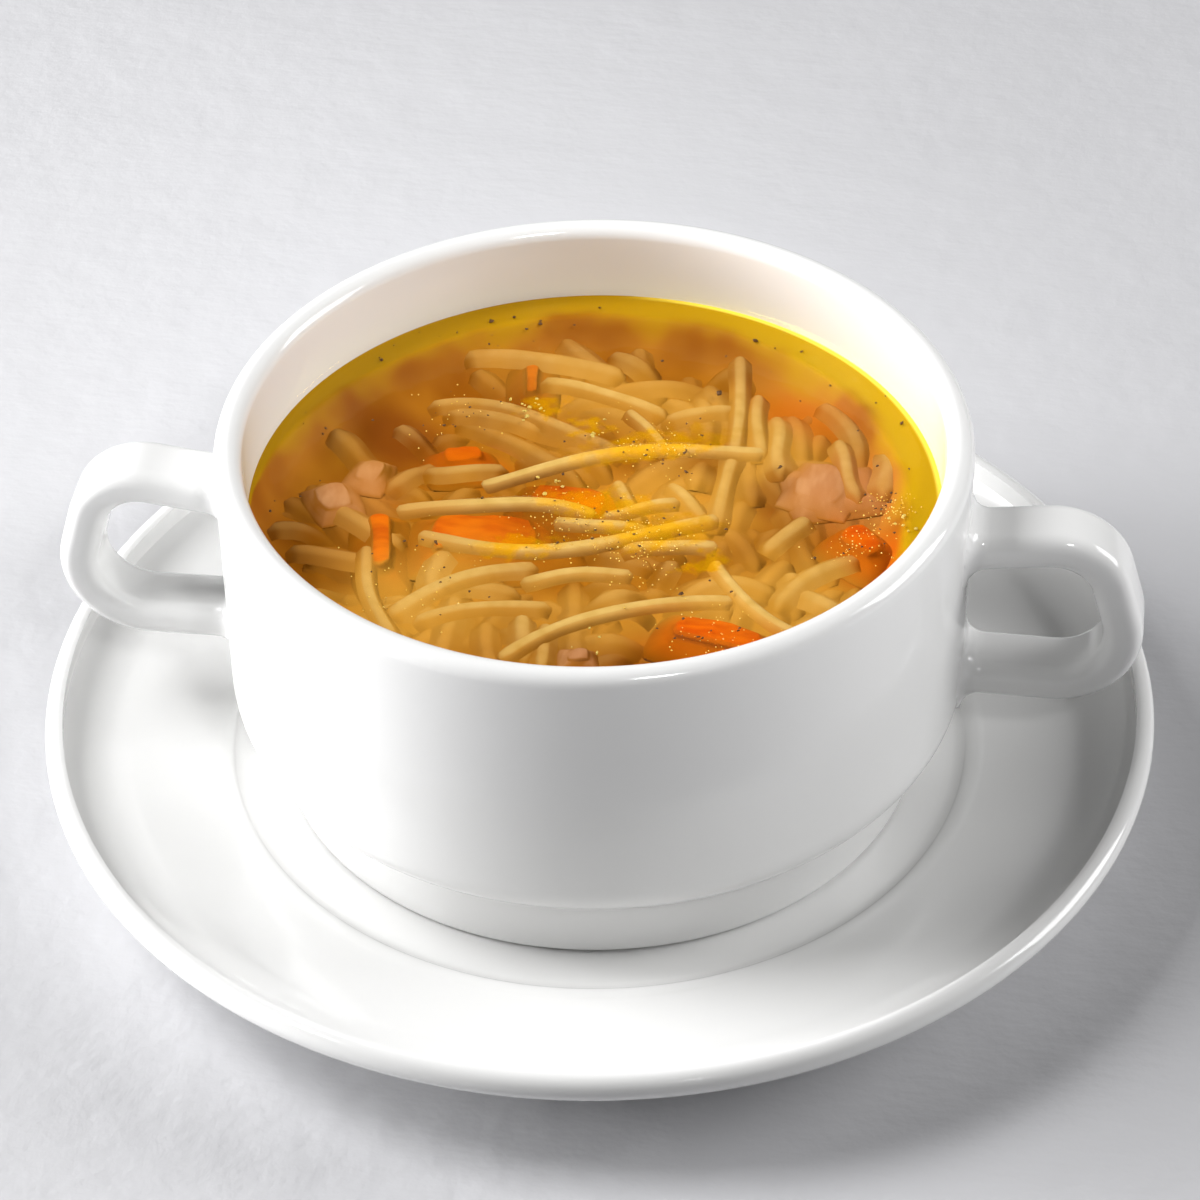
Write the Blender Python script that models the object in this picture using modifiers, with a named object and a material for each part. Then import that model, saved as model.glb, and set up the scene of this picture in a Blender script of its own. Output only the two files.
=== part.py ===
"""Chicken noodle soup in a two-handled stacking soup cup on its saucer.

The cup and saucer share the Z axis, the two handles lie along X, and Z = 0 is the
table under the saucer's foot ring. Everything is at its real size, in metres.
"""
import math

import bmesh
import bpy
from mathutils import Vector

MM = 0.001
GAP = 0.3 * MM  # clearance between pieces that touch
STEPS = 48  # facets round a turned piece
PART_NAME = "chicken_noodle_soup"

# Saucer
SAUCER_RADIUS = 80.1 * MM
SAUCER_RIM_Z = 15.7 * MM  # middle of the rolled rim
SAUCER_RIM_HALF = 1.9 * MM
WELL_Z = 8.2 * MM  # flat middle that carries the cup
WELL_RADIUS = 51.5 * MM
WELL_RIDGE_RADIUS = 55.6 * MM
WELL_RIDGE_RISE = 1.3 * MM
BREAK_RADIUS = 69.0 * MM  # where the flare turns up towards the rim
BREAK_RISE = 2.9 * MM
SAUCER_FOOT_RADIUS = 45.0 * MM
SAUCER_FOOT_WIDTH = 3.6 * MM
SAUCER_FOOT_HEIGHT = 3.3 * MM

# Cup, with heights above its own foot
CUP_Z = WELL_Z + GAP
CUP_RADIUS = 52.5 * MM
CUP_HEIGHT = 55.2 * MM
LIP_HALF = 1.95 * MM
SHOULDER_Z = 17.4 * MM
SHOULDER_FOOT_RADIUS = 48.7 * MM
FOOT_HEIGHT = 11.9 * MM
FOOT_STEP = 0.45 * MM
FOOT_BASE_RADIUS = 45.9 * MM
FOOT_WIDTH = 3.4 * MM
UNDERSIDE_Z = 6.6 * MM
INNER_FLOOR_Z = 9.8 * MM
INNER_CORNER = 13.0 * MM
INNER_TAPER = 0.4 * MM

# Handles, as a strap that runs out, down and back in the XZ plane
STRAP_WIDTH = 9.6 * MM
STRAP_THICKNESS = 5.6 * MM
STRAP_EDGE = 2.1 * MM
STRAP_TOP_Z = 40.7 * MM
STRAP_CREST = (70.5 * MM, 43.3 * MM)
STRAP_HEEL = (77.5 * MM, 18.4 * MM)
STRAP_BOTTOM_Z = 18.7 * MM
STRAP_CREST_BEND = 8.4 * MM
STRAP_HEEL_BEND = 9.4 * MM
STRAP_FLARE = 1.42  # how much wider the strap is where it meets the wall
STRAP_FLARE_REACH = 7.0 * MM

# Soup
SOUP_DEPTH = 43.65 * MM  # surface above the cup's foot
SOUP_Z = CUP_Z + SOUP_DEPTH
HEAP_RADIUS = 38.0 * MM
HEAP_HALF_HEIGHT = 10.5 * MM
HEAP_CROWN = 0.8 * MM  # how far the noodles break the surface
HEAP_CENTRE = Vector((1.0 * MM, -1.0 * MM, 0.0))
HEAP_SEGMENTS = 28
HEAP_RINGS = 12

# Garnish at the surface: name, (x, y), (length, width, height), turn about Z and tilt in degrees,
# and how far the top stands above the soup
GARNISH = (
    ("carrot_1", (-14.6, -7.6), (17.0, 6.6, 4.6), 9.0, 2.0, 1.6),
    ("carrot_2", (-3.9, 0.4), (10.6, 5.4, 4.2), -6.0, -3.0, 1.6),
    ("carrot_3", (-28.3, -11.2), (12.6, 2.8, 3.6), -78.0, 2.0, 1.5),
    ("carrot_4", (20.6, -25.8), (14.2, 5.4, 4.0), -12.0, 2.0, 1.5),
    ("carrot_5", (38.0, -3.8), (6.4, 4.6, 3.6), -38.0, 4.0, 1.0),
    ("chicken_1", (31.2, 9.2), (9.6, 8.4, 5.6), 78.0, 3.0, 1.5),
    ("chicken_2", (-36.6, -1.7), (6.6, 5.2, 4.6), -62.0, -4.0, 1.0),
)

COLOURS = {
    "porcelain": ((0.86, 0.86, 0.85), 0.12),
    "broth": ((0.52, 0.20, 0.03), 0.08),
    "noodle": ((0.80, 0.58, 0.26), 0.40),
    "carrot": ((0.78, 0.20, 0.02), 0.38),
    "chicken": ((0.66, 0.42, 0.24), 0.48),
}


def empty_scene():
    for obj in list(bpy.data.objects):
        bpy.data.objects.remove(obj)


def collection(name):
    group = bpy.data.collections.new(name)
    bpy.context.scene.collection.children.link(group)
    return group


def material(name):
    colour, roughness = COLOURS[name]
    mat = bpy.data.materials.new(name)
    mat.use_nodes = True
    shader = mat.node_tree.nodes["Principled BSDF"]
    shader.inputs["Base Color"].default_value = (*colour, 1.0)
    shader.inputs["Roughness"].default_value = roughness
    shader.inputs["Metallic"].default_value = 0.0
    return mat


def mesh_object(name, mesh, mat, group):
    obj = bpy.data.objects.new(name, mesh)
    obj.data.materials.append(mat)
    group.objects.link(obj)
    return obj


def as_cutter(obj):
    obj.hide_render = True
    obj.display_type = "WIRE"
    return obj


def boolean(target, tool, operation):
    modifier = target.modifiers.new(f"{operation.lower()}_{tool.name}", "BOOLEAN")
    modifier.operation = operation
    modifier.solver = "EXACT"
    modifier.object = tool
    return modifier


def arc(centre, radii, start, end, steps):
    """Points of an elliptical arc in the (radius, z) plane, from start to end degrees."""
    points = []
    for i in range(steps + 1):
        angle = math.radians(start + (end - start) * i / steps)
        points.append((centre[0] + radii[0] * math.cos(angle), centre[1] + radii[1] * math.sin(angle)))
    return points


def turned(name, profile, mat, group):
    """A closed solid of revolution whose profile starts and ends on the Z axis."""
    mesh = bpy.data.meshes.new(name)
    points = [(radius, 0.0, z) for radius, z in profile]
    mesh.from_pydata(points, [(i, i + 1) for i in range(len(points) - 1)], [])
    obj = mesh_object(name, mesh, mat, group)
    screw = obj.modifiers.new("turn", "SCREW")
    screw.axis = "Z"
    screw.steps = STEPS
    screw.render_steps = STEPS
    screw.use_merge_vertices = True
    screw.merge_threshold = 0.00001
    screw.use_smooth_shade = True
    return obj


def saucer_profile():
    """Up from the middle of the well, over the rim and down the outer side to the underside."""
    half = SAUCER_RIM_HALF
    edge_radius = SAUCER_RADIUS - half
    foot_outer = SAUCER_FOOT_RADIUS + SAUCER_FOOT_WIDTH / 2
    foot_inner = SAUCER_FOOT_RADIUS - SAUCER_FOOT_WIDTH / 2
    ridge = arc((WELL_RIDGE_RADIUS, WELL_Z), (1.6 * MM, WELL_RIDGE_RISE), 180.0, 60.0, 3)
    flare = arc((BREAK_RADIUS, WELL_Z + BREAK_RISE + 14.0 * MM), (14.0 * MM, 14.0 * MM), -96.0, -52.0, 3)
    lift = SAUCER_RIM_Z + half * 0.9 - flare[-1][1]
    run = edge_radius - 0.9 * MM - flare[-1][0]
    upper = [(flare[-1][0] + run * 0.6, flare[-1][1] + lift * 0.6)]
    rim = arc((edge_radius, SAUCER_RIM_Z), (half, half), 105.0, -70.0, 6)
    under = [(73.5 * MM, 9.2 * MM), (66.0 * MM, 6.0 * MM), (56.0 * MM, 4.0 * MM)]
    foot = [(foot_outer + 0.5 * MM, SAUCER_FOOT_HEIGHT), (foot_outer, 0.5 * MM), (foot_outer - 0.4 * MM, 0.0),
            (foot_inner + 0.4 * MM, 0.0), (foot_inner, 0.5 * MM), (foot_inner - 0.4 * MM, SAUCER_FOOT_HEIGHT)]
    return ([(0.0, WELL_Z), (WELL_RADIUS, WELL_Z)] + ridge + flare + upper + rim + under + foot
            + [(0.0, SAUCER_FOOT_HEIGHT + 0.3 * MM)])


def inner_profile(gap, top):
    """The cup's inside from its floor at the axis up to the height top, moved inwards by gap."""
    wall = CUP_RADIUS - 2 * LIP_HALF - gap
    low_wall = wall - INNER_TAPER
    floor = INNER_FLOOR_Z + gap
    corner = arc((low_wall - INNER_CORNER, floor + INNER_CORNER), (INNER_CORNER, INNER_CORNER), -90.0, 0.0, 5)
    return [(0.0, floor)] + corner + [(wall - INNER_TAPER * (1 - top / CUP_HEIGHT), top)]


def cup_profile():
    """Along the inner floor, up the inside, over the lip, down the outer side and under the foot."""
    lip_centre = (CUP_RADIUS - LIP_HALF, CUP_HEIGHT - LIP_HALF)
    inside = inner_profile(0.0, 44.0 * MM)
    lip = arc(lip_centre, (LIP_HALF, LIP_HALF), 180.0, 0.0, 8)
    shoulder_width = CUP_RADIUS - SHOULDER_FOOT_RADIUS
    shoulder = arc((SHOULDER_FOOT_RADIUS, SHOULDER_Z), (shoulder_width, SHOULDER_Z - FOOT_HEIGHT), 0.0, -90.0, 4)
    foot_top = SHOULDER_FOOT_RADIUS - FOOT_STEP
    foot_inner = FOOT_BASE_RADIUS - FOOT_WIDTH
    foot = [(foot_top, FOOT_HEIGHT), (FOOT_BASE_RADIUS + 0.3 * MM, 1.0 * MM), (FOOT_BASE_RADIUS - 0.5 * MM, 0.0),
            (foot_inner + 0.5 * MM, 0.0), (foot_inner, 0.8 * MM), (foot_inner - 0.5 * MM, UNDERSIDE_Z - 1.5 * MM),
            (foot_inner - 2.0 * MM, UNDERSIDE_Z)]
    return inside + lip + shoulder + foot + [(0.0, UNDERSIDE_Z)]


def rounded_path(points, bends, steps):
    """A path through the points with each inner corner rounded to its bend radius."""
    path = [points[0]]
    for i, bend in enumerate(bends, start=1):
        corner = points[i]
        back = (points[i - 1] - corner).normalized()
        ahead = (points[i + 1] - corner).normalized()
        half = back.angle(ahead) / 2
        centre = corner + (back + ahead).normalized() * bend / math.sin(half)
        first = (corner + back * bend / math.tan(half) - centre).normalized()
        last = (corner + ahead * bend / math.tan(half) - centre).normalized()
        for k in range(steps + 1):
            path.append(centre + first.slerp(last, k / steps) * bend)
    path.append(points[-1])
    return path


def strap_section():
    """A rounded rectangle that the handle's curve carries along its path."""
    section = bpy.data.curves.new("strap_section", "CURVE")
    section.dimensions = "2D"
    spline = section.splines.new("POLY")
    half_w = STRAP_WIDTH / 2 - STRAP_EDGE
    half_t = STRAP_THICKNESS / 2 - STRAP_EDGE
    corners = ((half_w, half_t, 0.0), (-half_w, half_t, 90.0), (-half_w, -half_t, 180.0), (half_w, -half_t, 270.0))
    points = []
    for x, y, start in corners:
        points += arc((x, y), (STRAP_EDGE, STRAP_EDGE), start, start + 90.0, 2)
    spline.points.add(len(points) - 1)
    for point, (x, y) in zip(spline.points, points):
        point.co = (x, y, 0.0, 1.0)
    spline.use_cyclic_u = True
    return section


def handle(name, section, mat, group):
    """One strap handle on the +X side, its ends buried in the cup's wall."""
    root = CUP_RADIUS - LIP_HALF
    corners = [Vector((root, 0.0, STRAP_TOP_Z)), Vector((STRAP_CREST[0], 0.0, STRAP_CREST[1])),
               Vector((STRAP_HEEL[0], 0.0, STRAP_HEEL[1])), Vector((root, 0.0, STRAP_BOTTOM_Z))]
    path = rounded_path(corners, (STRAP_CREST_BEND, STRAP_HEEL_BEND), 4)
    flared = []
    for end, inner in ((path[0], path[1]), (path[-1], path[-2])):
        flared.append([end.lerp(inner, t) for t in (0.0, 0.2, 0.45)])
    path = flared[0] + path[1:-1] + flared[1][::-1]
    curve = bpy.data.curves.new(name, "CURVE")
    curve.dimensions = "3D"
    curve.bevel_mode = "OBJECT"
    curve.bevel_object = section
    curve.use_fill_caps = True
    spline = curve.splines.new("POLY")
    spline.points.add(len(path) - 1)
    for point, place in zip(spline.points, path):
        reach = max(0.0, 1.0 - max(0.0, place.x - CUP_RADIUS) / STRAP_FLARE_REACH)
        point.co = (*place, 1.0)
        point.radius = 1.0 + (STRAP_FLARE - 1.0) * reach ** 2
    curved = bpy.data.objects.new(name + "_curve", curve)
    group.objects.link(curved)
    bpy.context.view_layer.update()
    evaluated = curved.evaluated_get(bpy.context.evaluated_depsgraph_get())
    mesh = bpy.data.meshes.new_from_object(evaluated)
    bm = bmesh.new()
    bm.from_mesh(mesh)
    bmesh.ops.remove_doubles(bm, verts=bm.verts, dist=0.00001)
    bmesh.ops.recalc_face_normals(bm, faces=bm.faces)
    bm.to_mesh(mesh)
    bm.free()
    bpy.data.objects.remove(curved)
    mesh.materials.clear()
    return as_cutter(mesh_object(name, mesh, mat, group))


def make_cup(mat, group, cutters):
    cup = turned("cup", cup_profile(), mat, group)
    cup.location.z = CUP_Z
    section = bpy.data.objects.new("strap_section", strap_section())
    cutters.objects.link(section)
    as_cutter(section)
    for side, turn in (("right", 0.0), ("left", math.pi)):
        strap = handle(f"handle_{side}", section, mat, cutters)
        strap.location.z = CUP_Z
        strap.rotation_euler.z = turn
        boolean(cup, strap, "UNION")
    return cup


def heap_outline(angle):
    """The noodle heap's uneven outline, as a share of its nominal radius."""
    return (1.0 + 0.055 * math.sin(2 * angle + 0.7) + 0.035 * math.sin(3 * angle - 1.1)
            + 0.022 * math.sin(7 * angle + 0.4))


def heap_relief(x, y):
    """The uneven top of the noodle heap, in metres."""
    return 0.2 * MM * (math.sin(x / (4.1 * MM) + 0.6) * math.cos(y / (5.3 * MM))
                        + 0.6 * math.sin(x / (2.9 * MM) - y / (3.7 * MM)))


def make_heap(name, grow, mat, group):
    """A flattened pillow with an uneven outline and top; grow moves its surface outwards."""
    bm = bmesh.new()
    bmesh.ops.create_uvsphere(bm, u_segments=HEAP_SEGMENTS, v_segments=HEAP_RINGS, radius=1.0)
    for vert in bm.verts:
        unit = vert.co.copy()
        flat = min(1.0, math.hypot(unit.x, unit.y))
        angle = math.atan2(unit.y, unit.x)
        reach = (HEAP_RADIUS * heap_outline(angle) + grow) * flat ** 0.4
        x, y = reach * math.cos(angle), reach * math.sin(angle)
        rise = math.copysign(abs(unit.z) ** 0.3, unit.z) * (HEAP_HALF_HEIGHT + grow)
        vert.co = (x, y, rise + heap_relief(x, y))
    mesh = bpy.data.meshes.new(name)
    bm.to_mesh(mesh)
    bm.free()
    mesh.shade_smooth()
    obj = mesh_object(name, mesh, mat, group)
    obj.location = HEAP_CENTRE + Vector((0.0, 0.0, SOUP_Z + HEAP_CROWN - HEAP_HALF_HEIGHT))
    return obj


def make_piece(name, place, size, turn, tilt, stand, grow, mat, group):
    """A cut piece of carrot or chicken: a block with softened edges and slightly uneven sides."""
    length, width, height = (side * MM + 2 * grow for side in size)
    bm = bmesh.new()
    bmesh.ops.create_cube(bm, size=1.0)
    bmesh.ops.scale(bm, vec=(length, width, height), verts=bm.verts)
    for vert in bm.verts:
        vert.co.x *= 1.0 - 0.10 * (vert.co.y > 0)
        vert.co.y *= 1.0 - 0.14 * (vert.co.x > 0)
    bmesh.ops.bevel(bm, geom=bm.edges, offset=0.28 * height, segments=2, profile=0.6, affect="EDGES")
    mesh = bpy.data.meshes.new(name)
    bm.to_mesh(mesh)
    bm.free()
    mesh.shade_smooth()
    obj = mesh_object(name, mesh, mat, group)
    obj.location = (place[0] * MM, place[1] * MM, SOUP_Z + stand * MM - size[2] * MM / 2)
    obj.rotation_euler = (0.0, math.radians(tilt), math.radians(turn))
    return obj


def broth_profile():
    """The soup up to its level surface, just clear of the cup's inside."""
    inside = inner_profile(GAP, SOUP_DEPTH)
    return [(0.0, SOUP_DEPTH)] + inside[:0:-1] + [inside[0]]


def build():
    empty_scene()
    parts = collection(PART_NAME)
    cutters = collection("cutters")
    mats = {name: material(name) for name in COLOURS}
    turned("saucer", saucer_profile(), mats["porcelain"], parts)
    make_cup(mats["porcelain"], parts, cutters)
    broth = turned("broth", broth_profile(), mats["broth"], parts)
    broth.location.z = CUP_Z
    noodles = make_heap("noodles", 0.0, mats["noodle"], parts)
    boolean(broth, as_cutter(make_heap("heap_cutter", GAP, mats["noodle"], cutters)), "DIFFERENCE")
    for name, *shape in GARNISH:
        mat = mats[name.split("_")[0]]
        make_piece(name, *shape, 0.0, mat, parts)
        cutter = as_cutter(make_piece(f"{name}_cutter", *shape, GAP, mat, cutters))
        boolean(noodles, cutter, "DIFFERENCE")
        boolean(broth, cutter, "DIFFERENCE")


build()
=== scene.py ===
"""Looks for the chicken noodle soup: glazed cup and saucer, and soup full of short noodles.

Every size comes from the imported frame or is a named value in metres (MM marks millimetres).
"""
import math

import bmesh
import bpy
import numpy as np
from mathutils import Euler, Matrix, Vector, noise


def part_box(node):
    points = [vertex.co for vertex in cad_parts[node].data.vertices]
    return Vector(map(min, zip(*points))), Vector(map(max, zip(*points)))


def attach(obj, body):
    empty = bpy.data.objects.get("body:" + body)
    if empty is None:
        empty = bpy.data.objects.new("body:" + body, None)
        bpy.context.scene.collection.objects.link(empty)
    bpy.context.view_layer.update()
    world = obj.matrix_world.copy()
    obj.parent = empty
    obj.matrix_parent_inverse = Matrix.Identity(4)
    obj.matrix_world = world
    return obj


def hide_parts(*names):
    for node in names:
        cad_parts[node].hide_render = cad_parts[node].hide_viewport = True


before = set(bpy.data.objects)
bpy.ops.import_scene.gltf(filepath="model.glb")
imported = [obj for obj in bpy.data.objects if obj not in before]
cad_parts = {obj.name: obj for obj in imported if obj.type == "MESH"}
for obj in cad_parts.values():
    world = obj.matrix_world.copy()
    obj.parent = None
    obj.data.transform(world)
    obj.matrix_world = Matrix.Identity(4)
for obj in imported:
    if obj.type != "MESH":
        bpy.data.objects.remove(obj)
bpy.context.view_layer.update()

MM = 0.001
SEED = 11

# ---------------- sizes read from the frame
SAUCER_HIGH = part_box("saucer")[1]
CUP_LOW, CUP_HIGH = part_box("cup")
SOUP_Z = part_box("broth")[1].z
SAUCER_RADIUS = SAUCER_HIGH.x
SAUCER_TOP = SAUCER_HIGH.z
CUP_FOOT = CUP_LOW.z
CUP_RADIUS = CUP_HIGH.y
CUP_HEIGHT = CUP_HIGH.z - CUP_LOW.z
HANDLE_REACH = CUP_HIGH.x

# ---------------- porcelain
TURN_STEPS = 192
LIP_HALF = 1.95 * MM
WALL = 2 * LIP_HALF
SOUP_RADIUS = CUP_RADIUS - WALL - 0.05 * MM

SAUCER_RIM_HALF = 1.9 * MM
WELL_Z = 8.2 * MM
WELL_RADIUS = 51.5 * MM
WELL_RIDGE_RADIUS = 55.6 * MM
WELL_RIDGE_RISE = 1.3 * MM
BREAK_RADIUS = 69.0 * MM
BREAK_RISE = 2.9 * MM
BREAK_BEND = 14.0 * MM
SAUCER_FOOT_RADIUS = 45.0 * MM
SAUCER_FOOT_WIDTH = 3.6 * MM
SAUCER_FOOT_HEIGHT = 3.3 * MM

SHOULDER_Z = 17.4 * MM
SHOULDER_FOOT_RADIUS = 48.7 * MM
FOOT_HEIGHT = 11.9 * MM
FOOT_STEP = 0.45 * MM
FOOT_BASE_RADIUS = 45.9 * MM
FOOT_WIDTH = 3.4 * MM
UNDERSIDE_Z = 6.6 * MM
INNER_FLOOR_Z = 9.8 * MM
INNER_CORNER = 13.0 * MM
INNER_TAPER = 0.4 * MM

STRAP_WIDTH = 9.6 * MM
STRAP_THICKNESS = 5.6 * MM
STRAP_EDGE = 2.2 * MM
STRAP_TOP_Z = 40.7 * MM
STRAP_CREST_Z = 43.3 * MM
STRAP_CREST_BACK = 7.0 * MM  # how far the crest lies inside the heel
STRAP_HEEL_Z = 18.4 * MM
STRAP_BOTTOM_Z = 18.7 * MM
STRAP_CREST_BEND = 8.4 * MM
STRAP_HEEL_BEND = 9.4 * MM
STRAP_FILLET = 2.6 * MM

# ---------------- soup
FOG_DEPTH = 1.9 * MM  # depth at which the cloudy broth hides about two thirds of a thing's own colour
SOFT_DEPTH = 1.0 * MM  # depth at which scattered light has evened out most of a thing's shading
SPREAD_DEPTH = 1.4 * MM  # depth at which a noodle's flanks are fully spread
NOODLE_WIDTH = 2.0 * MM
NOODLE_THICKNESS = 1.25 * MM
FLATNESS = NOODLE_THICKNESS / NOODLE_WIDTH
LOOSE_NOODLES = 300
CORE_DEPTH = 5.5 * MM  # how far the broth's cloudy body lies under the surface, away from the wall
FAT_BAND = 5.4 * MM  # width of the golden fat along the back of the wall
MENISCUS = 1.0 * MM  # how high the surface is drawn up at the wall
WET_FILM = 0.12 * MM  # liquid that coats what breaks the surface
FAT_COVER = 0.3  # how much of what lies below a pool of fat it hides
WATER_GLOSS = 0.012  # share of light the soup's surface mirrors straight on
EDGE_GLOSS = 0.7  # and what is added at a glancing angle
DULL_GLOSS = 0.08  # specular level of what lies under that surface
DULL_ROUGHNESS = 0.5

# Noodles listed one by one: middle (x, y), heading in degrees, length and bend in degrees, and how far
# the top lies under the soup's surface, from the highest down; all lengths in millimetres
PLACED_NOODLES = (
    ((2, 11), 17, 40, -22, -0.25), ((-14, -2.5), 4, 27, -40, -0.2), ((-2, -11), 12, 42, 42, -0.15),
    ((5, -24), 27, 33, -45, 0.0), ((23, -19), -46, 19, 40, 0.1), ((2, -5.5), 0, 13, 8, -0.15),
    ((11, -9), 8, 12, -8, -0.1), ((-1, -16), 13, 14, -10, 0.1), ((18, 18), -89, 38, -8, 0.6),
    ((6, -1), 26, 10, 10, 0.1), ((4, 2), -63, 8, 5, 0.5), ((13, 2), -48, 9, 0, 0.6),
    ((27, -4), 58, 8, 15, 0.5), ((-28, -23), -69, 20, 20, 0.5), ((-17, -19), 33, 21, -35, 0.5),
    ((-13, -24), 15, 17, -25, 0.7), ((-2, 25.5), -19, 18, -25, 0.6), ((5, 18), -52, 10, 5, 0.3),
    ((12, 23), 17, 9, 0, 0.8), ((20.5, 21), -82, 13, 8, 0.7), ((24, 17.5), -83, 12, -8, 0.9),
    ((34, 13), -73, 12, 14, 0.8), ((40, 13), -91, 9, 10, 1.1), ((-12, 20), -17, 29, -45, 1.2),
    ((-11, 18), -14, 26, -30, 1.5), ((-12, 34), -6, 22, -25, 1.5), ((-20, 6), 12, 10, 20, 1.1),
    ((-27, 5), 50, 7, 0, 1.3), ((-32, -7), -35, 12, 15, 1.2), ((-34, -14), -10, 13, -20, 1.8),
    ((-20, -15), 82, 9, -30, 1.2), ((-6, -29), -80, 7, 0, 0.5), ((-3, -30), -86, 8, 10, 0.7),
    ((31, -12), 48, 14, -30, 1.2), ((33, -17), -40, 16, 50, 1.0), ((14, -36), 72, 9, 0, 1.0),
)
# Pieces near the surface, by CAD node: length, width and height, turn about Z and tilt in degrees
GARNISH = {
    "carrot_1": ((17.0, 8.4, 4.4), 9, 2), "carrot_2": ((13.0, 7.4, 4.4), -6, -3),
    "carrot_3": ((12.0, 3.2, 4.4), -78, 2), "carrot_4": ((14.0, 5.4, 4.4), -12, 2),
    "carrot_5": ((6.4, 4.6, 4.4), -38, 4), "chicken_1": ((10.6, 8.4, 2.0), 78, 3),
    "chicken_2": ((7.4, 5.6, 2.0), -62, -4),
}
TOP_DEPTH = {"carrot": 0.65 * MM, "chicken": 1.5 * MM}  # how far under the soup's surface their tops lie
ROUNDNESS = {"carrot": 0.5, "chicken": 0.8}  # 0 for a block, 1 for a ball
FLANK_SLOPE = 1.25  # how far a piece's flanks run out for each unit of depth
FLANK_TOP = 1 / 5  # where they begin to, as a share of the piece's height above its middle
# Sunken pieces: kind, middle (x, y), length, width and height, turn, and depth of the top
SUNKEN = (
    ("carrot", (-20.5, 10.5), (6, 3.6, 4), 20, 1.7), ("carrot", (-13, 29), (7, 2.6, 4), -82, 1.4),
    ("carrot", (22, -27), (12, 4.4, 4), -14, 1.8), ("carrot", (38, -3.5), (7, 4, 4), -40, 1.7),
    ("carrot", (-6, -10), (7, 2.4, 4), 24, 1.2), ("chicken", (33, 9), (13, 10, 2), 20, 1.9),
    ("chicken", (-33, 5), (6, 4.4, 2), 80, 1.8), ("chicken", (2, -32.5), (3.6, 2.8, 1.6), 10, 0.9),
)
# Tones of the broth, sRGB from 0 to 255
AMBER, TAN, PALE, ORANGE = (146, 80, 2), (180, 114, 22), (212, 150, 50), (212, 96, 0)
ROSY, DEEP = (192, 116, 46), (132, 66, 4)
# Soft glows in the cloudy broth, of what lies deep in it: middle (x, y), half length, half width, turn,
# colour and strength
GLOWS = (
    ((-26, -24), 20, 12, 35, PALE, 0.9), ((26, -16), 16, 12, 20, PALE, 0.9), ((10, 4), 14, 10, 0, PALE, 0.9),
    ((2, 28), 24, 7, -12, PALE, 0.7), ((25, 15), 12, 10, -70, PALE, 0.8), ((0, -22), 18, 8, 10, PALE, 0.5),
    ((-20, 11), 7, 4, 0, ORANGE, 0.7), ((-31, 17), 10, 7, -30, DEEP, 0.9), ((-34, 1), 7, 6, 0, ROSY, 0.5),
    ((-14, 29), 5, 7, 0, DEEP, 0.3), ((34, 9), 11, 9, 0, ROSY, 0.9), ((26, 26), 10, 6, -35, ORANGE, 0.4),
    ((24, 8), 4, 4, 0, DEEP, 0.6), ((39, -4), 9, 6, -40, ORANGE, 0.7), ((21, -27), 14, 5, -14, ORANGE, 0.6),
    ((8, -32), 12, 4, 0, DEEP, 0.5), ((-6, -2), 16, 7, 5, DEEP, 0.4),
)
# Yellow fat lying on the soup: middle (x, y), half length and half width, turn in degrees
FAT_POOLS = (
    ((7, 12.5), (12, 3.2), 20), ((1, -1.5), (10, 3.0), -4), ((9, -7), (9, 3.6), 14),
    ((-9, -12), (6, 2.6), 10), ((-10, 20), (3.4, 2.2), 0), ((17, -13), (4, 2), 30), ((-3, 16), (3, 2), 30),
)
# Where fine things gather on the surface: middle (x, y) and spread, and share of bubbles and of specks
FROTH = (
    ((8, -9), 9, 0.26, 0.10), ((-4, -6), 9, 0.16, 0.08), ((8, 12), 8, 0.12, 0.10),
    ((41, 2), 4, 0.14, 0.08), ((37, -6), 5, 0.12, 0.06), ((-22, 16), 8, 0.05, 0.08),
    ((20, -28), 7, 0.10, 0.04), ((-20, -20), 12, 0.05, 0.06),
)
BUBBLE_SHARE, SPECK_SHARE = 2, 3  # columns of FROTH
BUBBLES = 620
SPECKS = 150
# Crumbs of fat: middle (x, y) of each group, and how many
FAT_CRUMBS = (((-12.5, 18.5), 14), ((-1.5, 15), 6), ((-6, 1), 5), ((2, -29), 4), ((43, -1), 8))
# The larger flakes of pepper: middle (x, y)
PEPPER = (
    (14.4, -19.8), (-20.4, -12.6), (-20.6, 39.6), (-13.4, 39.7), (18.4, 39.2), (14.6, 25.8), (41.2, 21.7),
    (-17.5, 41), (25, 9.5), (12, 7),
)
# Where loose noodles lie thick: centre and radius in millimetres, share of all, main heading in degrees
DRIFTS = (
    ((-2, 0), 24, 0.22, 12), ((-24, -18), 17, 0.16, 20), ((16, 12), 18, 0.14, -80),
    ((-8, 24), 17, 0.10, -15), ((22, -16), 17, 0.14, 40), ((-30, 0), 12, 0.06, -30),
    ((34, 14), 10, 0.04, -80), ((-2, -36), 12, 0.07, 70), ((-20, -30), 10, 0.07, 30),
)
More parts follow.
